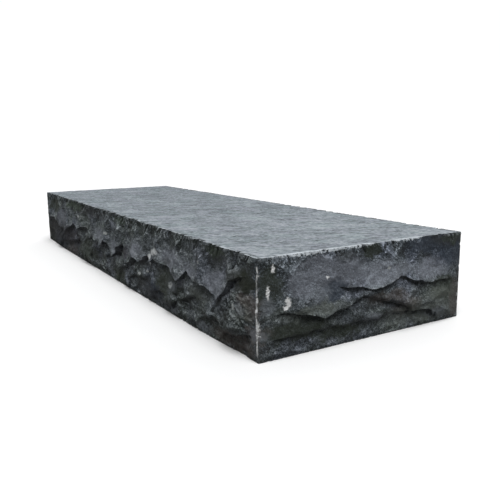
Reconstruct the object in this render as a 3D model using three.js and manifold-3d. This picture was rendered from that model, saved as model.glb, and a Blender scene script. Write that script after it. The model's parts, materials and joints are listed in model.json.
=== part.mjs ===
// Basalt step block: one solid stone for an outdoor stair, split to size and rock-faced on all four sides.
// Frame: millimetres, +Z up, origin at the middle of the bed (the underside). The length runs along X,
// and the face that a person walking up the stair sees looks along -Y.
import * as THREE from "three";
import { mergeVertices } from "three/addons/utils/BufferGeometryUtils.js";
import Module from "manifold-3d";

const LENGTH = 1250; // arris to arris, left to right
const DEPTH = 400; // arris to arris, front to back
const RISE = 147; // bed to tread
const BELLY = 13; // how far a rock face swells past its arrises
const BELLY_UP = 0.5; // height of the fullest line, as a share of the rise
const CORNER_RUN = 60; // stretch beside each upright corner over which the belly dies away
const FACET = 50; // size of the blank's facets along a side
const COURSES = 6; // rows of facets between bed and tread
const CUTTER_DETAIL = 1; // facets of the ball that cuts a flake

// A flake is a hollow left by one blow of the pitching tool, cut here by a flattened ball. Crown flakes
// were struck down from the edge of the tread. Foot and toe flakes came away upwards from the bed, and
// where their upper edges stop they leave the overhanging ledges that run along a face.
const CROWN = { tall: 62, thick: 36, pitch: -6 };
const FOOT = { tall: 70, thick: 19, pitch: 13 };
const TOE = { tall: 36, thick: 13, pitch: 12 };

// [along, up, half width, out, roll] for each flake. Along runs to the right of a person facing the stone,
// from the middle of the face. Up is the height of a crown flake's middle, and of the ledge above a foot
// or toe flake. Out is how far the deepest point stands in front of the arrises. Roll is in degrees.
const FRONT = {
  crown: [
    [-560, 112, 110, 1, 8],
    [-430, 116, 118, 2, -6],
    [-300, 118, 108, 1, 5],
    [-180, 108, 98, 3, -8],
    [-62, 114, 102, 0, 10],
    [46, 118, 92, 2, -4],
    [138, 112, 88, 0, 12],
    [236, 118, 94, 1, -10],
    [346, 114, 104, 0, 6],
    [462, 120, 102, 1, -5],
    [566, 114, 84, -1, 12],
  ],
  foot: [
    [-530, 62, 130, 1, 4],
    [-356, 79, 112, -1, -6],
    [-226, 84, 76, 0, 8],
    [-143, 70, 74, 2, -4],
    [-45, 75, 74, 0, 6],
    [70, 88, 78, -1, -5],
    [184, 82, 74, 1, -10],
    [292, 80, 92, -1, 3],
    [430, 88, 112, -2, 6],
    [572, 112, 84, -2, -12],
  ],
  toe: [
    [-470, 26, 80, 1, 2],
    [-320, 40, 92, 0, 8],
    [-100, 30, 84, 0, -4],
    [120, 28, 76, 1, 5],
    [350, 30, 90, 0, -3],
    [566, 40, 54, 1, 4],
  ],
};
const RIGHT_END = {
  crown: [
    [-158, 116, 76, -1, 10],
    [-80, 110, 92, 1, -6],
    [14, 112, 96, 2, 4],
    [100, 120, 88, 0, -8],
    [168, 112, 66, 1, 6],
  ],
  foot: [
    [-146, 62, 96, 1, -6],
    [-46, 86, 96, 0, -14],
    [66, 90, 110, -1, 8],
    [154, 76, 80, 0, -6],
  ],
  toe: [
    [-104, 31, 92, 0, 3],
    [22, 30, 86, -1, -2],
    [130, 26, 80, 0, 4],
  ],
};

// The two faces that stand against the next step or the soil carry flakes of the same kind, set out evenly
// with a drift that doesn't repeat.
const SPACING = 112;
const DRIFTS = [0.7549, 0.5698, 0.4302, 0.3247];

function drift(count, which) {
  return ((count + 1) * DRIFTS[which]) % 1;
}

function spreadFlakes(length, spacing, up, first) {
  const count = Math.round(length / spacing);
  const pitch = length / count;
  return Array.from({ length: count }, (_, i) => [
    -length / 2 + (i + 0.3 + 0.4 * drift(first + i, 0)) * pitch,
    up + 22 * (drift(first + i, 1) - 0.5),
    pitch * (0.76 + 0.2 * drift(first + i, 2)),
    3 * drift(first + i, 3) - 1,
    24 * (drift(first + i, 2) - 0.5),
  ]);
}

function spreadFace(length, first) {
  return {
    crown: spreadFlakes(length, SPACING, 115, first),
    foot: spreadFlakes(length, SPACING, 80, first + 20),
    toe: spreadFlakes(length, 1.6 * SPACING, 32, first + 40),
  };
}

const FACES = [
  { ...FRONT, reach: DEPTH / 2, turn: 0 },
  { ...RIGHT_END, reach: LENGTH / 2, turn: 90 },
  { ...spreadFace(LENGTH, 0), reach: DEPTH / 2, turn: 180 },
  { ...spreadFace(DEPTH, 60), reach: LENGTH / 2, turn: 270 },
];

const wasm = await Module();
wasm.setup();

function solidFrom(geometry) {
  geometry.deleteAttribute("normal");
  geometry.deleteAttribute("uv");
  const merged = mergeVertices(geometry, 1e-3);
  const mesh = new wasm.Mesh({
    numProp: 3,
    vertProperties: merged.attributes.position.array,
    triVerts: new Uint32Array(merged.index.array),
  });
  return new wasm.Manifold(mesh);
}

function geometryFrom(solid) {
  const mesh = solid.getMesh();
  const geometry = new THREE.BufferGeometry();
  geometry.setAttribute("position", new THREE.BufferAttribute(mesh.vertProperties, 3));
  geometry.setIndex(new THREE.BufferAttribute(mesh.triVerts, 1));
  geometry.computeVertexNormals();
  return geometry;
}

// How far a face stands out at a height and at a distance from the nearer upright corner.
function belly(up, fromCorner) {
  const share = up / RISE;
  const rising = share < BELLY_UP ? share / BELLY_UP : (1 - share) / (1 - BELLY_UP);
  const swell = Math.sin((rising * Math.PI) / 2);
  return BELLY * swell * THREE.MathUtils.smoothstep(fromCorner, 0, CORNER_RUN);
}

// The stone as it comes off the splitter: flat bed and tread, plumb corners, swelling sides.
function blank() {
  const box = new THREE.BoxGeometry(LENGTH, DEPTH, RISE, LENGTH / FACET, DEPTH / FACET, COURSES);
  box.translate(0, 0, RISE / 2);
  const points = box.attributes.position;
  const point = new THREE.Vector3();
  for (let i = 0; i < points.count; i++) {
    point.fromBufferAttribute(points, i);
    const fromEnd = LENGTH / 2 - Math.abs(point.x);
    const fromFace = DEPTH / 2 - Math.abs(point.y);
    const onEnd = fromEnd < 1;
    const onFace = fromFace < 1;
    if (onEnd) point.x += Math.sign(point.x) * belly(point.z, fromFace);
    if (onFace) point.y += Math.sign(point.y) * belly(point.z, fromEnd);
    points.setXYZ(i, point.x, point.y, point.z);
  }
  return solidFrom(box);
}

function flake({ tall, thick, pitch }, [along, up, wide, out, roll], { reach, turn }) {
  const tilt = THREE.MathUtils.degToRad(pitch);
  const middle = pitch > 0 ? up - tall * Math.cos(tilt) : up;
  const ball = new THREE.IcosahedronGeometry(1, CUTTER_DETAIL);
  ball.scale(wide, thick, tall);
  ball.rotateY(THREE.MathUtils.degToRad(roll));
  ball.rotateX(-tilt);
  ball.translate(along, -(reach + out + thick), middle);
  ball.rotateZ(THREE.MathUtils.degToRad(turn));
  return solidFrom(ball);
}

function stone() {
  let solid = blank();
  for (const face of FACES) {
    for (const row of face.crown) solid = solid.subtract(flake(CROWN, row, face));
    for (const row of face.foot) solid = solid.subtract(flake(FOOT, row, face));
    for (const row of face.toe) solid = solid.subtract(flake(TOE, row, face));
  }
  return geometryFrom(solid);
}

const basalt = new THREE.MeshStandardMaterial({ color: 0x555b60, roughness: 0.9, metalness: 0 });
const block = new THREE.Mesh(stone(), basalt);
block.name = "step_block";

const part = new THREE.Group();
part.name = "basalt_step_block";
part.add(block);

export default part;
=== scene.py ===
import json
import math
import random

import bmesh
import bpy
from mathutils import Matrix, Vector

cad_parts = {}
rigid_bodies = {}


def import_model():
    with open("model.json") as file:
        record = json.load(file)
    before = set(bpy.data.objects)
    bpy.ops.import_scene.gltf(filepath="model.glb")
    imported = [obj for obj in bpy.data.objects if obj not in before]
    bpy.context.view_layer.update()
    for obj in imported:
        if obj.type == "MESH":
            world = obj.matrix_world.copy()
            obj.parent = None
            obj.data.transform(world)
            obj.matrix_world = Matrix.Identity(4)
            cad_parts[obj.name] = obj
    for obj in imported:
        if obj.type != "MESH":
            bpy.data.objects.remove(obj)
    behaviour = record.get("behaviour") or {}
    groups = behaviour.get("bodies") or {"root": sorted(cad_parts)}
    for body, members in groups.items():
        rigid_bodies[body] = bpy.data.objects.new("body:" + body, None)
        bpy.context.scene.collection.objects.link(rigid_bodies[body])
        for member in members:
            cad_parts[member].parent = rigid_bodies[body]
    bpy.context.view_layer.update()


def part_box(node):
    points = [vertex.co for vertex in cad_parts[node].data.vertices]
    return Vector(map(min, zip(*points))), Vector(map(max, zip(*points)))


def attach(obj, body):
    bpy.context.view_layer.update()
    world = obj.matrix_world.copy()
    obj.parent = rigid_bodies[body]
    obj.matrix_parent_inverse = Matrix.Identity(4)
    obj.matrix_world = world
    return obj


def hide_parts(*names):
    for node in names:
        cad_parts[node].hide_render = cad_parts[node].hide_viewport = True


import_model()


# ---- The boss ------------------------------------------------------------------------------------------
# The block as it leaves the splitter: one piece of dense basalt, sawn flat on the bed and on the tread,
# with four split faces that swell past their straight arrises and carry the faint layers of the rock.

low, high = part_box("step_block")
rise = high.z
swell = 0.013  # how far a split face stands past its arrises
length = high.x - low.x - 2 * swell
depth = high.y - low.y - 2 * swell
end_reach = length / 2
face_reach = depth / 2
boss_cell = 0.004
ledge_cell = 0.003
skin_cell = 0.002


def only(piece):
    """Make a piece the single selected and active one."""
    bpy.ops.object.select_all(action="DESELECT")
    piece.select_set(True)
    bpy.context.view_layer.objects.active = piece


def finish_modifiers(piece):
    """Make a piece's modifiers part of its mesh."""
    only(piece)
    for modifier in list(piece.modifiers):
        bpy.ops.object.modifier_apply(modifier=modifier.name)


def settle(piece):
    """Put a piece's place, turn and scale into its mesh."""
    only(piece)
    bpy.ops.object.transform_apply(location=True, rotation=True, scale=True)


def weigh(piece, name, weight):
    """Give every point of a piece a weight worked out from its place."""
    group = piece.vertex_groups.new(name=name)
    for vertex in piece.data.vertices:
        group.add([vertex.index], weight(vertex.co), "REPLACE")
    return name


def relief(piece, texture, height, weights, level=0.5, room=None):
    """Push a surface in and out along its normals by a procedural texture."""
    push = piece.modifiers.new("relief", "DISPLACE")
    push.texture = texture
    push.strength = height
    push.mid_level = level
    push.vertex_group = weights
    if room:
        push.texture_coords = "OBJECT"
        push.texture_coords_object = room
    else:
        push.texture_coords = "GLOBAL"


def clouds(name, size, octaves, hard=False):
    """Lumpy relief of about the given size. Hard clouds have creases in place of soft valleys."""
    texture = bpy.data.textures.new(name, "CLOUDS")
    texture.noise_scale = size
    texture.noise_depth = octaves
    texture.noise_type = "HARD_NOISE" if hard else "SOFT_NOISE"
    texture.noise_basis = "IMPROVED_PERLIN"
    return texture


def ease(low_edge, high_edge, value):
    """A smooth rise from 0 at the low edge to 1 at the high edge."""
    share = min(1, max(0, (value - low_edge) / (high_edge - low_edge)))
    return share * share * (3 - 2 * share)


def from_arris(place):
    """How far a point of a side lies from the level arrises, and from the upright ones."""
    return min(place.z, rise - place.z), max(end_reach - abs(place.x), face_reach - abs(place.y))


def side_weight(margin, upright_margin):
    """A weight that is full on the split sides and fades to nothing at the arrises."""

    def weight(place):
        on_side = max(abs(place.x) - end_reach, abs(place.y) - face_reach) > -0.03
        level, upright = from_arris(place)
        return ease(0, margin, level) * ease(0, upright_margin, upright) if on_side else 0.0

    return weight


bpy.ops.object.select_all(action="DESELECT")
bpy.ops.mesh.primitive_cube_add(size=1, location=(0, 0, rise / 2), scale=(length, depth, rise))
block = bpy.context.object
block.name = "rock_faced_block"
settle(block)

bpy.ops.object.mode_set(mode="EDIT")
bpy.ops.mesh.select_mode(type="FACE")
bpy.ops.mesh.select_all(action="DESELECT")
shape = bmesh.from_edit_mesh(block.data)
for face in shape.faces:
    face.select = abs(face.normal.z) < 0.5
bmesh.update_edit_mesh(block.data)
inset_wide = 0.024
first_swell = 0.008
bpy.ops.mesh.inset(thickness=inset_wide, depth=first_swell, use_individual=True)
bpy.ops.mesh.inset(thickness=inset_wide, depth=swell - first_swell, use_individual=True)
shape = bmesh.from_edit_mesh(block.data)

# The swell rises more slowly from the upright arrises, which stay straight seen along a side.
easing = 1.8
for vertex in shape.verts:
    if abs(vertex.co.y) > face_reach + 0.001:
        vertex.co.x = math.copysign(end_reach - easing * (end_reach - abs(vertex.co.x)), vertex.co.x)
    if abs(vertex.co.x) > end_reach + 0.001:
        vertex.co.y = math.copysign(face_reach - easing * (face_reach - abs(vertex.co.y)), vertex.co.y)
bmesh.update_edit_mesh(block.data)
bpy.ops.object.mode_set(mode="OBJECT")


def heal_pinches(piece):
    """Take out the few points where two folds of the skin touch along an edge, and close the holes."""
    most_passes = 6
    only(piece)
    bpy.ops.object.mode_set(mode="EDIT")
    bpy.ops.mesh.select_mode(type="VERT")
    for again in range(most_passes):
        bpy.ops.mesh.select_all(action="DESELECT")
        bpy.ops.mesh.select_non_manifold()
        bpy.ops.mesh.delete(type="VERT")
        bpy.ops.mesh.select_all(action="SELECT")
        bpy.ops.mesh.delete_loose()
        bpy.ops.mesh.select_all(action="SELECT")
        bpy.ops.mesh.fill_holes(sides=0)
    bpy.ops.object.mode_set(mode="OBJECT")


def even_out(piece, cell):
    """Rebuild a mesh from even squares of about one size, keeping its arrises crisp."""
    depth_steps = math.ceil(math.log2(1.02 * max(piece.dimensions) / cell))
    even = piece.modifiers.new("even", "REMESH")
    even.mode = "SHARP"
    even.octree_depth = depth_steps
    even.scale = max(piece.dimensions) / (cell * 2**depth_steps)
    even.use_remove_disconnected = True
    even.threshold = 0.05
    finish_modifiers(piece)
    heal_pinches(piece)


even_out(block, boss_cell)

# The layers: soft, long swells and thin steps that run with the bed, the way the rock parts when it is
# split. They fade out at the arrises, which are struck straight.
long_room = bpy.data.objects.new("long_room", None)
bpy.context.scene.collection.objects.link(long_room)
long_room.scale = (3.2, 3.2, 1)

split_face = weigh(block, "split_face", side_weight(0.022, 0.090))
relief(block, clouds("swells", 0.055, octaves=1), 0.012, split_face, room=long_room)
relief(block, clouds("layers", 0.020, octaves=2, hard=True), -0.006, split_face, room=long_room)


# ---- The ledges ----------------------------------------------------------------------------------------
# Where a shell of rock broke off upwards it left an overhanging lip that wanders along the side. Each lip
# is cut by a wedge swept along it: deepest under the lip, and running out towards the bed.

# Each point of a lip is along, up and strength. Along runs to the right of a person facing the side, from
# its middle, up is the height above the bed, and the wedge cuts deeper with more strength.
front_ledges = [
    [(-0.650, 0.084, 0.6), (-0.600, 0.081, 0.7), (-0.550, 0.079, 0.9), (-0.510, 0.083, 1.0),
     (-0.470, 0.077, 0.9), (-0.430, 0.067, 0.7), (-0.390, 0.054, 0.4)],
    [(-0.395, 0.054, 0.4), (-0.350, 0.066, 0.9), (-0.330, 0.075, 1.1), (-0.305, 0.083, 1.1),
     (-0.290, 0.089, 1.1), (-0.265, 0.087, 0.9), (-0.250, 0.080, 0.5)],
    [(-0.250, 0.080, 0.4), (-0.225, 0.084, 0.9), (-0.200, 0.090, 1.1), (-0.170, 0.091, 1.0),
     (-0.155, 0.085, 0.7), (-0.150, 0.067, 0.4)],
    [(-0.175, 0.063, 0.4), (-0.150, 0.069, 0.9), (-0.135, 0.075, 1.0), (-0.120, 0.077, 1.1),
     (-0.095, 0.074, 1.0), (-0.070, 0.070, 0.8), (-0.050, 0.064, 0.4)],
    [(-0.060, 0.063, 0.4), (-0.040, 0.070, 0.9), (-0.025, 0.079, 1.1), (-0.010, 0.081, 1.1),
     (0.010, 0.072, 0.9), (0.030, 0.057, 0.4)],
    [(0.035, 0.056, 0.4), (0.060, 0.067, 0.9), (0.075, 0.073, 1.0), (0.085, 0.085, 1.1),
     (0.095, 0.091, 1.1), (0.105, 0.089, 0.8), (0.120, 0.058, 0.4)],
    [(0.125, 0.055, 0.4), (0.150, 0.061, 0.7), (0.160, 0.067, 1.0), (0.170, 0.074, 1.0),
     (0.180, 0.074, 0.9), (0.195, 0.066, 0.4)],
    [(0.190, 0.066, 0.4), (0.210, 0.075, 0.8), (0.225, 0.083, 1.1), (0.235, 0.088, 1.1),
     (0.245, 0.086, 0.8), (0.255, 0.073, 0.4)],
    [(0.250, 0.073, 0.4), (0.260, 0.083, 0.8), (0.270, 0.089, 1.1), (0.290, 0.087, 1.1),
     (0.320, 0.086, 1.1), (0.340, 0.087, 1.0), (0.355, 0.082, 0.8), (0.380, 0.075, 0.4)],
    [(0.385, 0.061, 0.3), (0.400, 0.083, 0.5), (0.410, 0.092, 0.7), (0.425, 0.086, 1.0),
     (0.445, 0.083, 1.1), (0.475, 0.082, 1.1), (0.500, 0.077, 1.0), (0.525, 0.068, 0.4)],
    [(0.520, 0.065, 0.4), (0.530, 0.078, 0.8), (0.545, 0.087, 1.0), (0.553, 0.097, 1.1),
     (0.565, 0.108, 1.1), (0.580, 0.114, 1.0), (0.595, 0.119, 0.9), (0.610, 0.121, 0.7),
     (0.630, 0.121, 0.5), (0.655, 0.120, 0.4)],
]
right_ledges = [
    [(-0.220, 0.060, 0.7), (-0.195, 0.064, 0.9), (-0.165, 0.070, 1.1), (-0.130, 0.062, 1.1),
     (-0.105, 0.054, 1.0), (-0.090, 0.048, 0.5)],
    [(-0.095, 0.048, 0.4), (-0.075, 0.055, 0.9), (-0.045, 0.060, 1.0), (-0.025, 0.067, 1.0),
     (-0.005, 0.068, 1.1), (0.020, 0.058, 1.1), (0.055, 0.049, 0.9), (0.070, 0.043, 0.5)],
]

# Lesser lips along the toe.
front_toe_ledges = [
    [(-0.415, 0.025, 0.7), (-0.375, 0.030, 1.0), (-0.340, 0.033, 1.2), (-0.305, 0.037, 1.2),
     (-0.270, 0.044, 1.1), (-0.230, 0.048, 0.6)],
    [(-0.120, 0.046, 0.6), (-0.080, 0.050, 1.1), (-0.050, 0.047, 0.6)],
    [(-0.025, 0.042, 0.6), (-0.005, 0.048, 1.1), (0.015, 0.051, 1.1), (0.030, 0.041, 1.0),
     (0.065, 0.032, 0.6)],
    [(0.155, 0.031, 0.6), (0.185, 0.036, 1.2), (0.215, 0.039, 1.2), (0.250, 0.046, 0.6)],
    [(0.275, 0.026, 0.6), (0.295, 0.032, 1.1), (0.320, 0.030, 0.6)],
    [(0.375, 0.032, 0.6), (0.395, 0.037, 1.2), (0.410, 0.044, 1.2), (0.430, 0.050, 1.1),
     (0.455, 0.051, 0.5)],
    [(0.545, 0.024, 1.2), (0.560, 0.027, 1.6), (0.580, 0.031, 1.8), (0.595, 0.035, 1.8),
     (0.615, 0.038, 1.6), (0.640, 0.040, 1.2)],
    [(-0.600, 0.034, 1.0), (-0.560, 0.040, 1.2), (-0.520, 0.038, 1.2), (-0.470, 0.030, 0.8)],
    [(0.085, 0.034, 0.8), (0.105, 0.040, 1.1), (0.130, 0.036, 0.7)],
    [(0.470, 0.026, 0.8), (0.495, 0.033, 1.2), (0.530, 0.030, 0.8)],
]
right_toe_ledges = [
    [(-0.215, 0.027, 0.9), (-0.170, 0.030, 1.2), (-0.120, 0.030, 1.2), (-0.055, 0.029, 1.2),
     (-0.035, 0.024, 0.7)],
    [(-0.045, 0.029, 0.7), (-0.035, 0.033, 1.2), (-0.005, 0.029, 1.2), (0.035, 0.031, 1.2),
     (0.085, 0.029, 1.1), (0.120, 0.028, 0.7)],
]

# Lips above another lip: the stone below each one leans out again to meet the next.
right_upper_ledges = [
    [(-0.075, 0.098, 0.1), (-0.060, 0.093, 0.4), (-0.030, 0.087, 0.5), (-0.010, 0.083, 0.5),
     (0.005, 0.078, 0.3)],
    [(0.000, 0.078, 0.3), (0.025, 0.082, 0.5), (0.045, 0.090, 0.5), (0.060, 0.092, 0.5),
     (0.080, 0.084, 0.6), (0.110, 0.077, 0.7), (0.135, 0.074, 0.8), (0.165, 0.075, 0.9),
     (0.205, 0.068, 0.8)],
]


def drift(count, which):
    """An even spread of numbers from 0 to 1 that doesn't repeat."""
    return (count + 1) * (0.7549, 0.5698, 0.4302, 0.3247)[which] % 1


def spread_ledges(reach, first):
    """Ledges of the same kind for a side that stands against soil or the next step."""
    lips = []
    start, count = -reach - 0.03, first
    while start < reach:
        run = 0.075 + 0.085 * drift(count, 0)
        crest = 0.068 + 0.022 * drift(count, 1)
        lean = 0.02 * (drift(count, 2) - 0.5)
        lips.append([
            (start - 0.012, crest - 0.020, 0.3),
            (start + 0.25 * run, crest + lean, 0.9),
            (start + 0.55 * run, crest + 0.004, 1.1),
            (start + 0.85 * run, crest - 0.6 * lean, 0.9),
            (start + run + 0.010, crest - 0.018, 0.3),
        ])
        if drift(count, 3) > 0.45:
            toe = 0.026 + 0.020 * drift(count, 2)
            lips.append([
                (start + 0.1 * run, toe - 0.008, 0.6),
                (start + 0.4 * run, toe, 1.2),
                (start + 0.8 * run, toe + 0.006, 1.2),
                (start + 1.05 * run, toe - 0.004, 0.6),
            ])
        start += run
        count += 1
    return lips


wedge_path = 0.014  # how far outside the arrises the sweep runs
lip_end = 0.020  # each lip dives down past its ends, so that two of them meet in a tooth
main_lean = -7  # degrees, how far the stone below a lip leans out again
upper_lean = -13
bpy.ops.object.select_all(action="DESELECT")
bpy.ops.curve.primitive_bezier_circle_add(radius=1)
wedge = bpy.context.object
wedge_outline = [(-0.013, 0), (0.030, 0.002), (0.030, -0.150), (-0.0085, -0.150), (-0.0105, -0.030)]
wedge.data.splines.clear()
wedge.data.dimensions = "2D"
outline = wedge.data.splines.new("POLY")
outline.points.add(len(wedge_outline) - 1)
for point, (out, up) in zip(outline.points, wedge_outline):
    point.co = (out, up, 0, 1)
outline.use_cyclic_u = True


def sweep_ledge(lip, reach, half, turn, lean):
    """The wedge swept along one lip. It bites less near the upright arrises, which stay straight."""
    path = bpy.data.curves.new("ledge", "CURVE")
    path.dimensions = "3D"
    path.twist_mode = "Z_UP"
    path.bevel_mode = "OBJECT"
    path.bevel_object = wedge
    path.use_fill_caps = True
    path.resolution_u = 6
    spline = path.splines.new("BEZIER")
    first, last = lip[0], lip[-1]
    lead_in = (first[0] - lip_end, first[1] - lip_end, first[2])
    lead_out = (last[0] + lip_end, last[1] - lip_end, last[2])
    run = [lead_in] + lip + [lead_out]
    spline.bezier_points.add(len(run) - 1)
    for point, (along, up, strength) in zip(spline.bezier_points, run):
        inside = ease(-0.005, 0.050, half - abs(along))
        point.co = (along, -reach - wedge_path, up)
        point.radius = (0.62 + 0.42 * strength) * (0.60 + 0.40 * inside)
        point.tilt = math.radians(lean)
        point.handle_left_type = point.handle_right_type = "AUTO"
    ledge = bpy.data.objects.new("ledge", path)
    bpy.context.scene.collection.objects.link(ledge)
    ledge.rotation_euler.z = math.radians(turn)
    return ledge


ledges = []
for lips, reach, half, turn, lean in (
    (front_ledges, face_reach, end_reach, 0, main_lean),
    (front_toe_ledges, face_reach, end_reach, 0, 0),
    (right_upper_ledges, end_reach, face_reach, 90, upper_lean),
    (right_ledges, end_reach, face_reach, 90, main_lean),
    (right_toe_ledges, end_reach, face_reach, 90, 0),
    (spread_ledges(end_reach, 0), face_reach, end_reach, 180, main_lean),
    (spread_ledges(face_reach, 40), end_reach, face_reach, 270, main_lean),
):
    ledges += [sweep_ledge(lip, reach, half, turn, lean) for lip in lips]

bpy.ops.object.select_all(action="DESELECT")
for ledge in ledges:
    ledge.select_set(True)
bpy.context.view_layer.objects.active = ledges[0]
bpy.ops.object.convert(target="MESH")
bpy.ops.object.transform_apply(location=True, rotation=True, scale=True)
bpy.ops.object.join()
ledge_cutter = bpy.context.object
bpy.data.objects.remove(wedge)
bpy.ops.object.mode_set(mode="EDIT")
bpy.ops.mesh.select_all(action="SELECT")
bpy.ops.mesh.remove_doubles(threshold=0.00001)
bpy.ops.object.mode_set(mode="OBJECT")

even = ledge_cutter.modifiers.new("even", "REMESH")
even.mode = "VOXEL"
even.voxel_size = ledge_cell
finish_modifiers(ledge_cutter)
everywhere = weigh(ledge_cutter, "skin", lambda place: 1.0)
relief(ledge_cutter, clouds("wander", 0.026, octaves=1), 0.006, everywhere)
relief(ledge_cutter, clouds("ragged", 0.009, octaves=2), 0.004, everywhere)
finish_modifiers(ledge_cutter)


# ---- The flakes ----------------------------------------------------------------------------------------
# Hollows that the mason's pitching tool left when it was struck down from the edge of the tread. Each is
# shallow, so the side stands nearly plumb under the arris and then leans out to the lip below.

flake_thick = 0.040
flake_middle = 0.135  # height of the deepest point above the bed

# Each row is along, foot, half width, out and roll. The foot is how low the flake reaches on the swollen
# side. Out is how far its deepest point stands in front of the arrises. Roll is in degrees.
front_flakes = [
    (-0.597, 0.070, 0.080, 0.002, 6),
    (-0.500, 0.072, 0.080, 0.000, -6),
    (-0.400, 0.050, 0.080, 0.001, 4),
    (-0.320, 0.070, 0.060, 0.000, -8),
    (-0.245, 0.074, 0.065, 0.001, 6),
    (-0.150, 0.060, 0.070, -0.001, -5),
    (-0.055, 0.058, 0.070, 0.001, 6),
    (0.030, 0.050, 0.065, 0.000, -6),
    (0.130, 0.052, 0.070, 0.001, 8),
    (0.196, 0.062, 0.050, 0.000, -6),
    (0.255, 0.068, 0.055, 0.001, 5),
    (0.335, 0.074, 0.070, 0.000, -6),
    (0.420, 0.068, 0.075, 0.001, 6),
    (0.515, 0.060, 0.070, 0.000, -8),
    (0.595, 0.100, 0.060, 0.002, 14),
]
right_flakes = [
    (-0.185, 0.066, 0.060, 0.003, 8),
    (-0.100, 0.042, 0.085, 0.001, -6),
    (-0.005, 0.074, 0.075, 0.000, 5),
    (0.075, 0.074, 0.060, 0.001, -5),
    (0.135, 0.066, 0.075, -0.003, -8),
    (0.195, 0.068, 0.050, 0.004, 6),
]


def spread_flakes(reach, first):
    """Flakes of the same kind for a side that stands against soil or the next step."""
    count = round(2 * reach / 0.080)
    pitch = 2 * reach / count
    return [
        (
            -reach + (i + 0.3 + 0.4 * drift(first + i, 0)) * pitch,
            0.056 + 0.022 * drift(first + i, 1),
            pitch * (0.75 + 0.25 * drift(first + i, 2)),
            0.005 if i in (0, count - 1) else 0.003 * drift(first + i, 3) - 0.0015,
            20 * (drift(first + i, 2) - 0.5),
        )
        for i in range(count)
    ]


cutters = bpy.data.collections.new("cutters")
bpy.context.scene.collection.children.link(cutters)


def chisel(name, fineness, roughness):
    """A ball with a hackly skin: what is cut away by one blow, before it is flattened."""
    bpy.ops.object.select_all(action="DESELECT")
    bpy.ops.mesh.primitive_ico_sphere_add(subdivisions=fineness, radius=1)
    ball = bpy.context.object
    ball.name = name
    everywhere = weigh(ball, "skin", lambda place: 1.0)
    relief(ball, clouds(name + "_broad", 0.7, octaves=1), 1.6 * roughness, everywhere)
    relief(ball, clouds(name + "_hackle", 0.2, octaves=2), roughness, everywhere)
    finish_modifiers(ball)
    return ball


def strike(ball, place, turn, size, spin=0.0):
    """Set a copy of a chisel ball where a flake comes away. The spin brings other bumps to its deep end."""
    copy = ball.copy()
    copy.data = ball.data.copy()
    copy.data.transform(Matrix.Rotation(spin, 4, "Y"))
    copy.location = place
    copy.rotation_euler = turn
    copy.scale = size
    cutters.objects.link(copy)


def facing(along, out, up, reach, turn):
    """The place of a point given as a person facing a side would give it."""
    angle = math.radians(turn)
    back = -(reach + out)
    return Vector((
        along * math.cos(angle) - back * math.sin(angle),
        along * math.sin(angle) + back * math.cos(angle),
        up,
    ))


flake_ball = chisel("flake", 5, 0.08)
for flakes, reach, turn in (
    (front_flakes, face_reach, 0),
    (right_flakes, end_reach, 90),
    (spread_flakes(end_reach, 0), face_reach, 180),
    (spread_flakes(face_reach, 40), end_reach, 270),
):
    for count, (along, foot, wide, out, roll) in enumerate(flakes):
        run_out = math.sqrt(1 - ((flake_thick - swell) / flake_thick) ** 2)
        tall = (flake_middle - foot) / run_out
        place = facing(along, out + flake_thick, flake_middle, reach, turn)
        tilt = (0, math.radians(roll), math.radians(turn))
        strike(flake_ball, place, tilt, (wide, flake_thick, tall), spin=2.4 * count)

# Narrow, shallow flutes that the edge tools broke out of the level arrises, so that these run raggedly.
# Each row is the height of the arris, the usual gap, the deepest bite, how rare the deep bites are, and the
# least and greatest half width. The two ends were dressed with a lighter hand.
chip_ball = chisel("chip", 2, 0.16)
flutes = (
    (rise, 0.0080, 0.0046, 1.4, 0.003, 0.008),
    (rise, 0.0180, 0.0100, 1.8, 0.004, 0.011),
    (0.0, 0.0160, 0.0020, 1.5, 0.005, 0.014),
)
flute_thick = (0.014, 0.024)
flute_tall = (0.018, 0.040)
lighter_hand = 0.6
plain_end = 0.016
dice = random.Random(7)
sides = (
    (face_reach, end_reach, 0), (end_reach, face_reach, 90),
    (face_reach, end_reach, 180), (end_reach, face_reach, 270),
)
for reach, half, turn in sides:
    hand = lighter_hand if turn % 180 else 1.0
    for edge_up, gap, bite, rarity, least, greatest in flutes:
        along = -half + plain_end
        while along < half - plain_end:
            wide = dice.uniform(least, greatest)
            thick = dice.uniform(*flute_thick)
            tall = dice.uniform(*flute_tall) * hand
            out = thick - bite * hand * dice.uniform(0.1, 1.0) ** rarity
            place = facing(along, out, edge_up, reach, turn)
            tilt = (dice.uniform(-0.06, 0.10), dice.uniform(-0.4, 0.4), math.radians(turn))
            strike(chip_ball, place, tilt, (wide, thick, tall), spin=dice.uniform(0, 6))
            along += gap * dice.uniform(0.3, 1.7)

# Little bruises up the four upright arrises.
nick_ball = chisel("nick", 2, 0.16)
nick_size = (0.0025, 0.0055)
nick_gap = 0.012
plain_tip = 0.008
for x_side, y_side in ((1, -1), (1, 1), (-1, 1), (-1, -1)):
    up = plain_tip
    while up < rise - plain_tip:
        size = dice.uniform(*nick_size)
        out = size * dice.uniform(0.55, 0.75)
        place = (x_side * (end_reach + out), y_side * (face_reach + out), up)
        tilt = (dice.uniform(-0.4, 0.4), dice.uniform(-0.4, 0.4), dice.uniform(0, 3))
        strike(nick_ball, place, tilt, (size, size, size * dice.uniform(1.0, 2.2)))
        up += nick_gap * dice.uniform(0.5, 1.5)

cutters.objects.link(ledge_cutter)
cut = block.modifiers.new("flakes", "BOOLEAN")
cut.operation = "DIFFERENCE"
cut.operand_type = "COLLECTION"
cut.collection = cutters
cut.solver = "MANIFOLD"
finish_modifiers(block)
for ball in list(cutters.objects) + [flake_ball, chip_ball, nick_ball]:
    bpy.data.objects.remove(ball)

even_out(block, skin_cell)


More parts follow.
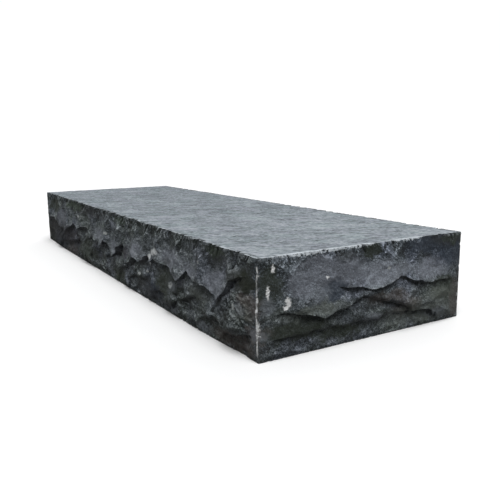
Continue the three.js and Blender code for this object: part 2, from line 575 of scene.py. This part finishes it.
# ---- The skin ------------------------------------------------------------------------------------------
# What the eye reads as broken stone: shells, steps, lumps and grit on the split sides, hackly rock beside
# the near corner, and the shallow, flamed unevenness of the tread.

# Along the middle of the front the toe was left standing a little proud.
toe_stands = 0.0050
toe_weight = weigh(block, "toe", lambda place: (
    ease(0.02, 0.20, end_reach - abs(place.x)) * ease(-0.10, -0.18, place.y)
    * (1 - ease(0.010, 0.060, place.z))
))
toe_push = block.modifiers.new("toe", "DISPLACE")
toe_push.direction = "Y"
toe_push.mid_level = 0.0
toe_push.strength = -toe_stands
toe_push.vertex_group = toe_weight
finish_modifiers(block)

face_skin = weigh(block, "face_skin", side_weight(0.008, 0.005))
on_side = side_weight(0.010, 0.060)
rough_skin = weigh(block, "rough_skin", lambda place: (
    on_side(place) * (1 - 0.65 * ease(0.055, 0.095, place.z))
    * (1 - 0.4 * ease(-0.02, 0, place.x - end_reach))
))
shells = bpy.data.textures.new("shells", "VORONOI")
shells.noise_scale = 0.036
shells.distance_metric = "DISTANCE_SQUARED"
relief(block, shells, 0.0060, rough_skin)
relief(block, clouds("steps", 0.026, octaves=2, hard=True), -0.0055, rough_skin, room=long_room)
relief(block, clouds("lumps", 0.012, octaves=2), 0.0022, face_skin)
relief(block, clouds("grit", 0.004, octaves=2), 0.0014, face_skin)

# The rock broke hackly round the near corner, where the side was struck from two directions.
hackly_place = Vector((0.575, -face_reach, 0.070))
hackly_reach = 0.062
face_weight = side_weight(0.008, 0.005)


def near_corner(place):
    off = place - hackly_place
    far = math.hypot(off.x / hackly_reach, off.z / hackly_reach)
    return face_weight(place) * ease(0.08, 0.0, abs(off.y)) * (1 - ease(0.4, 1.0, far))


hackly_skin = weigh(block, "hackly_skin", near_corner)
relief(block, clouds("hackles", 0.012, octaves=2, hard=True), -0.0070, hackly_skin)
tread_skin = weigh(block, "tread_skin", lambda place: ease(rise - 0.002, rise - 0.0005, place.z))
relief(block, clouds("flamed", 0.009, octaves=2), 0.0014, tread_skin)
relief(block, clouds("dished", 0.022, octaves=1), 0.0012, tread_skin)
finish_modifiers(block)

most_triangles = 190000
thin = block.modifiers.new("thin", "DECIMATE")
thin.ratio = min(1, most_triangles / (2 * len(block.data.polygons)))
finish_modifiers(block)
heal_pinches(block)
block.vertex_groups.clear()


# ---- The finish ----------------------------------------------------------------------------------------
# Bare basalt. Its colour follows which way the skin faces and where it is hollow: dust and painted light on
# the slopes that face up, painted shade in the hollows. Over that lie the stains of the rock's own joints,
# dirt, dust, the white bruises of handling, and more painted shade and highlights.

class Wire:
    """A socket of a material's node tree, so that its maths can be written as ordinary sums."""

    def __init__(self, tree, socket=None):
        self.tree = tree
        self.socket = socket

    def node(self, kind, settings, inputs, output=0):
        """Any node of a kind: its settings first, then its inputs. The output named is the one read on."""
        made = self.tree.nodes.new(kind)
        for name, value in settings.items():
            if name == "stops":
                ramp = made.color_ramp.elements
                while len(ramp) < len(value):
                    ramp.new(0.5)
                for stop, (position, shade) in zip(ramp, value):
                    stop.position = position
                    stop.color = (*shade, 1)
            else:
                setattr(made, name, value)
        for name, value in inputs.items():
            if isinstance(value, Wire):
                self.tree.links.new(value.socket, made.inputs[name])
            else:
                made.inputs[name].default_value = value
        return Wire(self.tree, made.outputs[output])

    def math(self, how, first, second=0.0):
        return self.node("ShaderNodeMath", {"operation": how}, {0: first, 1: second})

    def __add__(self, other):
        return self.math("ADD", self, other)

    def __radd__(self, other):
        return self.math("ADD", other, self)

    def __sub__(self, other):
        return self.math("SUBTRACT", self, other)

    def __rsub__(self, other):
        return self.math("SUBTRACT", other, self)

    def __mul__(self, other):
        return self.math("MULTIPLY", self, other)

    def __rmul__(self, other):
        return self.math("MULTIPLY", other, self)

    def __abs__(self):
        return self.math("ABSOLUTE", self)

    def larger(self, other):
        return self.math("MAXIMUM", self, other)

    def between(self, start, end):
        """0 below the start, 1 above the end, and a smooth rise from one to the other."""
        settings = {"interpolation_type": "SMOOTHSTEP", "clamp": True}
        return self.node("ShaderNodeMapRange", settings, {0: self, 1: start, 2: end})

    def part(self, axis):
        return self.node("ShaderNodeSeparateXYZ", {}, {0: self}, output=axis)

    def stretched(self, scale, shift=(0, 0, 0)):
        """Places drawn together along each axis, and shifted so that two noises of one kind differ."""
        return self.node("ShaderNodeMapping", {}, {"Vector": self, "Scale": scale, "Location": shift})

    def drawn_out(self, times, turn):
        """Places squeezed along a level direction, so that a noise read from them is drawn out that way."""
        inputs = {"Vector": self, "Rotation": (0, 0, turn), "Scale": (times, 1, 1)}
        return self.node("ShaderNodeMapping", {"vector_type": "TEXTURE"}, inputs)

    def noise(self, size, detail=2.0, roughness=0.5, distortion=0.0, output=0):
        """Cloudy noise whose blobs are about the given size in metres."""
        inputs = {"Vector": self, "Scale": 1 / size, "Detail": detail, "Roughness": roughness}
        return self.node("ShaderNodeTexNoise", {}, {**inputs, "Distortion": distortion}, output)

    def cells(self, size):
        """Crystal-like cells of the given size, each of a colour of its own."""
        return self.node("ShaderNodeTexVoronoi", {}, {"Vector": self, "Scale": 1 / size}, output=1)

    def ramp(self, *stops):
        return self.node("ShaderNodeValToRGB", {"stops": stops}, {0: self})

    def tinted(self, amount, shade, blend="MIX"):
        """This colour, changed towards a shade by an amount from 0 to 1."""
        shade = shade if isinstance(shade, Wire) else (*shade, 1)
        settings = {"data_type": "RGBA", "blend_type": blend, "clamp_factor": True}
        return self.node("ShaderNodeMix", settings, {0: amount, 6: self, 7: shade}, output=2)

    def spot(self, centre, radii):
        """A soft spot: 1 at its centre, falling evenly to 0 at its rim."""
        inputs = {"Vector": self, "Location": centre, "Scale": radii}
        inside = self.node("ShaderNodeMapping", {"vector_type": "TEXTURE"}, inputs)
        return self.node("ShaderNodeTexGradient", {"gradient_type": "SPHERICAL"}, {0: inside}, output=1)


stone = bpy.data.materials.new("basalt")
stone.use_nodes = True
tree = stone.node_tree
shader = tree.nodes["Principled BSDF"]
shader.inputs["Specular IOR Level"].default_value = 0.3
here = Wire(tree).node("ShaderNodeTexCoord", {}, {}, output="Object")
lean = Wire(tree).node("ShaderNodeNewGeometry", {}, {}, output="Normal").part("Z")
ridge = Wire(tree).node("ShaderNodeNewGeometry", {}, {}, output="Pointiness")
lengthways = here.part("X")
crossways = here.part("Y")
height = here.part("Z")

broad = here.noise(0.090, 3)
patchy = here.noise(0.028, 3, 0.6)
fine = here.noise(0.0050, 3, 0.65)
grain = here.noise(0.0018, 2, 0.75)
crystals = here.cells(0.0034).part("X")
bedded = here.stretched((1, 1, 5)).noise(0.030, 3, 0.6)
hue = here.stretched((1, 1, 1), (3, 1, 2)).noise(0.055, 2)

on_tread = (height + 0.002 * fine).between(rise - 0.0035, rise - 0.0015) * lean.between(0.45, 0.80)

# Split sides: charcoal where the rock is fresh, painted shade in the hollows, and dust and painted light
# on the slopes that face up, in blue grey.
# Paler the more a surface faces up: partly dust, partly painted light from above.
upward_dust_and_light = lean.between(-0.35, 0.70)
# Painted light and shade down a side: paler at mid height, darker low down and just under the arris.
raised = (height + 0.03 * (broad - 0.5)).between(0.030, 0.095)
crown = height.between(rise - 0.035, rise - 0.004)
upper = height.between(0.055, 0.095)
strokes = here.stretched((1, 1, 0.25)).noise(0.012, 2, 0.5)
plates = here.stretched((1, 1, 1.4), (5, 2, 7)).noise(0.060, 3, 0.55, 0.4)
crack = 1 - abs(plates - 0.5).between(0.002, 0.014)
plate_tone = plates.between(0.49, 0.51) + plates.between(0.565, 0.580) - plates.between(0.425, 0.440)
on_end = abs(lengthways).between(end_reach - 0.020, end_reach - 0.005)
end_toe = on_end * (1 - upper)
# Painted light along the foot, where the stone meets the floor.
foot = 1 - height.between(0.006, 0.024)
lightness = (
    0.070 + (0.62 - 0.32 * end_toe) * upward_dust_and_light + (0.20 + 0.06 * foot) * end_toe + 0.11 * foot
    + 0.15 * raised - 0.14 * crown + 0.36 * (patchy - 0.5) + 0.25 * (broad - 0.5) + 0.22 * (bedded - 0.5)
    + (0.48 + 0.40 * on_end) * (fine - 0.5) + (1.60 + 0.90 * on_end - 0.35 * end_toe) * (grain - 0.5)
    + 0.26 * (crystals - 0.5) + 0.50 * upper * (strokes - 0.5) + 0.115 * (plate_tone - 0.5) - 0.12 * crack
)
split = lightness.ramp(
    (0.00, (0.012, 0.015, 0.016)),
    (0.30, (0.058, 0.068, 0.072)),
    (0.60, (0.127, 0.146, 0.158)),
    (1.00, (0.350, 0.382, 0.405)),
)
split = split.tinted(0.45 * hue.between(0.50, 0.66), (0.93, 0.91, 1.10), "MULTIPLY")
split = split.tinted(0.8 * on_end * upper, (1.00, 1.03, 1.11), "MULTIPLY")
olive = (1 - hue.between(0.36, 0.48)) * (1 - 0.8 * on_end * upper) * (1 - 0.7 * upward_dust_and_light)
split = split.tinted(0.55 * olive, (0.98, 1.02, 0.78), "MULTIPLY")


def ragged_edges(size, reach):
    """Places shifted to and fro by cloudy noise, so that a mark read from them has a ragged outline."""
    shift = here.noise(size, 3, 0.6, output=1)
    centred = here.node("ShaderNodeVectorMath", {"operation": "SUBTRACT"}, {0: shift, 1: (0.5, 0.5, 0.5)})
    inputs = {0: centred, 1: (reach, reach, reach), 2: here}
    return here.node("ShaderNodeVectorMath", {"operation": "MULTIPLY_ADD"}, inputs)


wandering = ragged_edges(0.016, 0.035)
torn = ragged_edges(0.010, 0.018)
frayed = ragged_edges(0.004, 0.009)


def marks(spots, firm=0.5, deep=0.035, place=wandering):
    """One mask with a spot at each place. A firm mark reaches its full strength close to its rim."""
    mask = None
    for turn, along, up, wide, tall in spots:
        reach = end_reach if turn % 180 else face_reach
        centre = facing(along, 0.004, up, reach, turn)
        radii = (deep, wide, tall) if turn % 180 else (wide, deep, tall)
        one = place.spot(centre, radii)
        mask = one if mask is None else mask.larger(one)
    return mask.between(0.0, firm)


# Stains, fresh facets and crumbs, with painted shade and painted highlights among them, from the lowest
# coat to the top one. Each group is its colour, its strength, how firm its rim is, how ragged its outline
# runs, and its spots. Each spot is the side's turn, along, up, half width and half height.
stains = (
    # lilac fresh facets
    ((0.228, 0.245, 0.284), 0.58, 0.6, wandering, (
        (0, -0.062, 0.088, 0.045, 0.024), (0, 0.055, 0.078, 0.045, 0.030),
        (0, 0.165, 0.094, 0.045, 0.022), (0, 0.515, 0.092, 0.045, 0.028),
        (0, 0.425, 0.092, 0.040, 0.016), (0, 0.350, 0.100, 0.060, 0.022),
        (0, -0.420, 0.088, 0.050, 0.030), (90, -0.070, 0.112, 0.090, 0.034),
        (90, 0.010, 0.100, 0.075, 0.028), (90, 0.125, 0.094, 0.060, 0.022),
        (90, -0.130, 0.105, 0.040, 0.030), (90, -0.100, 0.130, 0.050, 0.014),
    )),
    # olive black dirt
    ((0.020, 0.026, 0.016), 0.75, 0.5, wandering, (
        (0, -0.180, 0.034, 0.110, 0.036), (0, 0.070, 0.014, 0.060, 0.020),
        (0, 0.330, 0.052, 0.060, 0.040), (0, 0.590, 0.112, 0.045, 0.022),
        (0, -0.570, 0.028, 0.110, 0.040), (0, -0.500, 0.118, 0.090, 0.026),
        (90, 0.003, 0.138, 0.026, 0.014), (90, -0.135, 0.040, 0.085, 0.022),
        (90, -0.060, 0.020, 0.060, 0.016), (90, 0.155, 0.058, 0.036, 0.030),
        (90, -0.185, 0.105, 0.026, 0.040),
    )),
    # pale brown rind beside the near corner
    ((0.150, 0.132, 0.120), 0.60, 0.6, wandering, (
        (0, 0.603, 0.078, 0.034, 0.026), (0, 0.618, 0.040, 0.022, 0.016),
    )),
    # rust brown
    ((0.090, 0.074, 0.065), 0.55, 0.6, wandering, (
        (0, 0.560, 0.014, 0.085, 0.024), (0, -0.340, 0.014, 0.110, 0.024),
        (0, -0.590, 0.092, 0.040, 0.024), (90, 0.035, 0.060, 0.055, 0.014),
        (90, 0.070, 0.042, 0.038, 0.022), (90, 0.190, 0.036, 0.022, 0.050),
    )),
    # purple black
    ((0.030, 0.024, 0.034), 0.60, 0.6, wandering, (
        (0, -0.335, 0.050, 0.130, 0.034), (0, -0.530, 0.066, 0.080, 0.022),
        (0, 0.110, 0.075, 0.030, 0.018),
    )),
    # blue black
    ((0.027, 0.037, 0.054), 0.72, 0.5, wandering, (
        (90, -0.075, 0.088, 0.028, 0.022), (90, 0.130, 0.138, 0.080, 0.022),
        (90, 0.175, 0.122, 0.050, 0.036), (0, 0.260, 0.030, 0.060, 0.024),
        (0, -0.450, 0.024, 0.120, 0.026),
    )),
    # grey green and paler on the toe
    ((0.150, 0.168, 0.148), 0.50, 0.7, wandering, (
        (90, 0.110, 0.026, 0.110, 0.030), (90, -0.110, 0.064, 0.090, 0.014),
        (0, 0.450, 0.060, 0.050, 0.022), (0, 0.595, 0.066, 0.030, 0.018),
        (90, 0.150, 0.050, 0.060, 0.016),
    )),
    # black over the far end, and painted shade under the arris and in the hollow at the near corner
    ((0.022, 0.024, 0.025), 0.70, 0.7, wandering, (
        (0, -0.490, 0.048, 0.200, 0.052), (0, -0.190, 0.134, 0.220, 0.022),
        (0, 0.590, 0.112, 0.050, 0.024), (90, 0.165, 0.137, 0.050, 0.016),
        (0, 0.520, 0.134, 0.060, 0.016), (0, 0.230, 0.020, 0.120, 0.022),
    )),
    # painted shade: black in the hollow beside the near corner
    ((0.012, 0.016, 0.008), 0.80, 0.5, wandering, (
        (0, 0.598, 0.112, 0.032, 0.018),
    )),
    # dark green under the arris
    ((0.050, 0.070, 0.044), 0.50, 0.6, wandering, (
        (0, -0.300, 0.134, 0.120, 0.014), (0, 0.060, 0.136, 0.065, 0.012),
        (0, 0.505, 0.138, 0.045, 0.010), (90, 0.185, 0.139, 0.040, 0.010),
    )),
    # pale facets: fresh rock, with painted light over shade in places
    ((0.300, 0.330, 0.370), 0.42, 0.7, torn, (
        (0, 0.520, 0.088, 0.028, 0.018), (0, 0.217, 0.084, 0.024, 0.014),
        (0, 0.356, 0.054, 0.024, 0.012), (0, 0.385, 0.070, 0.022, 0.012),
        (0, 0.560, 0.097, 0.020, 0.010), (0, 0.585, 0.072, 0.024, 0.014),
        (0, 0.469, 0.011, 0.032, 0.012), (0, 0.352, 0.012, 0.026, 0.010),
        (0, 0.023, 0.013, 0.028, 0.012), (0, 0.616, 0.038, 0.018, 0.014),
        (90, -0.100, 0.086, 0.026, 0.018), (90, 0.065, 0.103, 0.032, 0.014),
        (90, -0.187, 0.080, 0.014, 0.018), (90, 0.138, 0.022, 0.034, 0.012),
        (90, 0.005, 0.033, 0.022, 0.010),
    )),
    # black spots in the pits and under the arris
    ((0.014, 0.016, 0.016), 0.62, 0.7, torn, (
        (0, 0.243, 0.041, 0.028, 0.015), (0, 0.028, 0.039, 0.030, 0.015),
        (0, 0.436, 0.138, 0.034, 0.010), (0, 0.550, 0.050, 0.030, 0.020),
        (0, 0.334, 0.093, 0.022, 0.009), (90, -0.052, 0.134, 0.026, 0.011),
        (90, 0.187, 0.137, 0.026, 0.010),
    )),
    # a painted highlight on the ridge above a tooth
    ((0.800, 0.830, 0.840), 0.85, 0.5, frayed, (
        (0, 0.243, 0.078, 0.006, 0.010), (0, 0.248, 0.088, 0.009, 0.008),
        (0, 0.262, 0.098, 0.014, 0.007), (0, 0.282, 0.104, 0.020, 0.008),
    )),
    # pale crumbs
    ((0.430, 0.455, 0.455), 0.85, 0.5, frayed, (
        (0, -0.008, 0.099, 0.008, 0.004), (0, 0.229, 0.056, 0.008, 0.003),
        (0, 0.196, 0.046, 0.008, 0.003), (0, 0.348, 0.054, 0.009, 0.006),
        (0, 0.462, 0.115, 0.010, 0.003), (0, -0.255, 0.110, 0.008, 0.004),
        (0, 0.570, 0.070, 0.005, 0.007), (90, 0.030, 0.108, 0.003, 0.003),
        (90, 0.197, 0.058, 0.002, 0.006), (90, 0.196, 0.040, 0.002, 0.004),
        (90, 0.198, 0.026, 0.002, 0.005),
    )),
)
for shade, amount, firm, place, spots in stains:
    split = split.tinted(amount * marks(spots, firm, place=place), shade)

# Painted shade: darker low down towards the far end.
low_down = 1 - (height + 0.06 * (patchy - 0.5)).between(0.060, 0.100)
painted_low_shade = (1 - lengthways.between(-0.45, -0.10)) * low_down
split = split.tinted(0.50 * painted_low_shade, (0.010, 0.010, 0.010))

# Painted shade in the creases and hollows of the skin.
painted_crease_shade = 1 - ridge.between(0.448, 0.498)
split = split.tinted(0.84 * painted_crease_shade, (0.010, 0.012, 0.012))
# Pale on the sharp ridges: dust in places, and a painted highlight.
dusty = here.noise(0.060, 2).between(0.46, 0.60)
rim = ridge.between(0.52, 0.57) * (0.10 + 0.40 * dusty) * (0.25 + 0.75 * upper) * fine.between(0.40, 0.60)
split = split.tinted(rim, (0.36, 0.39, 0.41))

# Painted shade, dark and broken, right under the arris where the chips are, and pale dust on it in places.
under_arris = (height + 0.006 * (fine - 0.5) - 0.006 * on_end).between(rise - 0.012, rise - 0.005)
speckled = here.noise(0.014, 3, 0.7)
split = split.tinted(0.80 * under_arris * speckled.between(0.47, 0.56), (0.008, 0.011, 0.009))
dust = marks((
    (90, -0.105, rise, 0.075, 0.005), (90, -0.020, rise, 0.035, 0.004), (90, 0.080, rise, 0.040, 0.003),
), 0.30, 0.020, frayed)
split = split.tinted(0.85 * dust * fine.between(0.40, 0.50), (0.64, 0.69, 0.73))

# White bruises where other blocks knocked against this one in transport.
bruises = marks((
    (90, -0.178, 0.131, 0.0036, 0.0064), (90, -0.186, 0.099, 0.0028, 0.0115),
    (90, -0.157, 0.086, 0.0052, 0.0046), (90, -0.1555, 0.080, 0.0058, 0.0058),
    (90, -0.160, 0.075, 0.0058, 0.0040), (90, -0.085, 0.107, 0.0030, 0.0022),
), 0.45, 0.020, ragged_edges(0.0035, 0.008))
knocked = ragged_edges(0.020, 0.009)
line_run = height.between(0.006, 0.020) * (1 - height.between(rise - 0.013, rise - 0.010))
line_place = (end_reach - 0.0026, -face_reach, 0.070)
corner_line = knocked.spot(line_place, (0.0019, 0.0075, 0.40)).between(0.0, 0.35) * line_run
broken = 0.25 + 0.75 * here.noise(0.008, 2).between(0.40, 0.50)
low_place = (end_reach - 0.0018, -face_reach - 0.0008, 0.050)
low_bruise = frayed.spot(low_place, (0.0037, 0.0040, 0.013)).between(0.0, 0.6)
bruise = bruises.larger(corner_line * broken).larger(low_bruise)
split = split.tinted(0.96 * bruise, (0.97, 0.98, 0.98))

# Tread: the same rock brushed flat, paler and even, with a fine grain, faint dark streaks of painted shade
# from its flamed bumps, drawn out along one level direction, and arrises worn pale.
streak_heading = math.radians(59)
streaks = here.drawn_out(3.6, streak_heading).noise(0.0048, 2, 0.6)
specks = here.drawn_out(1.8, streak_heading).noise(0.0036, 2, 0.6)
cloudy = here.drawn_out(2.0, streak_heading).noise(0.030, 2, 0.5)
toned = 0.5 + 1.45 * (streaks - 0.5) + 1.8 * (specks - 0.5) + 0.72 * (cloudy - 0.5) + 0.9 * (grain - 0.5)
toned = toned + 0.5 * (broad - 0.5) + 0.10 * lengthways.between(-0.2, 0.6)
tread = (toned - 0.36 * (1 - streaks.between(0.34, 0.41))).ramp(
    (0.00, (0.074, 0.087, 0.097)),
    (0.50, (0.216, 0.247, 0.271)),
    (1.00, (0.392, 0.427, 0.460)),
)
tread = tread.tinted(0.5 * hue.between(0.50, 0.64), (1.03, 0.98, 1.03), "MULTIPLY")
tread = tread.tinted(0.5 * (1 - hue.between(0.36, 0.50)), (0.95, 1.02, 0.98), "MULTIPLY")
past_end = abs(lengthways) - end_reach
past_face = abs(crossways) - face_reach
near_arris = (past_end.larger(past_face) + 0.006 * (specks - 0.5)).between(-0.010, -0.002)
worn = 0.12 + 0.45 * speckled.between(0.42, 0.58) + 0.50 * dust
tread = tread.tinted(near_arris * worn, (0.60, 0.65, 0.69))
# Painted shadows of the chips: dark specks on the tread beside the long arrises.
chip_shadow_specks = here.noise(0.0100, 2).between(0.50, 0.56)
chip_shadows = (past_face + 0.016 * (speckled - 0.5)).between(-0.012, -0.005) * chip_shadow_specks
tread = tread.tinted(0.85 * chip_shadows, (0.030, 0.036, 0.038))
colour = split.tinted(on_tread, tread)

bumps = 0.65 * fine + 1.1 * grain + 0.15 * crystals + 0.15 * on_tread * streaks
bump = Wire(tree).node("ShaderNodeBump", {}, {"Height": bumps, "Strength": 0.65, "Distance": 0.003})
tree.links.new(colour.socket, shader.inputs["Base Color"])
tree.links.new((0.82 + 0.25 * (patchy - 0.5)).socket, shader.inputs["Roughness"])
tree.links.new(bump.socket, shader.inputs["Normal"])
block.data.materials.clear()
block.data.materials.append(stone)
bpy.data.objects.remove(long_room)

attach(block, "root")
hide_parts("step_block")


# ---- The studio ----------------------------------------------------------------------------------------
# A wide sheet of white paper under a pale sky. One broad lamp stands nearly overhead, and a weak one fills
# the shade behind the block.
bpy.ops.object.select_all(action="DESELECT")
bpy.ops.mesh.primitive_plane_add(size=30, location=(0, 0, 0))
floor = bpy.context.object
floor.name = "floor"
floor.visible_diffuse = False
paper = bpy.data.materials.new("paper")
paper.use_nodes = True
paper_shader = paper.node_tree.nodes["Principled BSDF"]
paper_shader.inputs["Base Color"].default_value = (0.9, 0.9, 0.9, 1)
paper_shader.inputs["Roughness"].default_value = 0.9
floor.data.materials.append(paper)

world = bpy.data.worlds.new("room")
bpy.context.scene.world = world
world.use_nodes = True
sky = world.node_tree.nodes["Background"]
up = Wire(world.node_tree).node("ShaderNodeTexCoord", {}, {}).part("Z")
seen = Wire(world.node_tree).node("ShaderNodeLightPath", {}, {})
glow = 0.04 + 0.30 * up.between(-0.1, 0.6)
world.node_tree.links.new((glow * (1 - seen) + 1.05 * seen).socket, sky.inputs["Strength"])
sky.inputs["Color"].default_value = (0.97, 0.985, 1, 1)

for name, over_x, over_y, energy in (("overhead", 9, 22, 2.9), ("fill", -37, -39, 0.5)):
    bpy.ops.object.light_add(type="SUN", rotation=(math.radians(over_x), math.radians(over_y), 0))
    lamp = bpy.context.object
    lamp.name = name
    lamp.data.angle = math.radians(50)
    lamp.data.energy = energy

camera_data = bpy.data.cameras.new("camera")
camera = bpy.data.objects.new("camera", camera_data)
bpy.context.scene.collection.objects.link(camera)
camera.location = (1.26465, -0.59614, 0.30250)
camera.rotation_euler = (math.radians(79.213), math.radians(0.675), math.radians(58.867))
camera_data.lens = 41.857
bpy.context.scene.camera = camera
bpy.context.scene.view_settings.view_transform = "Standard"
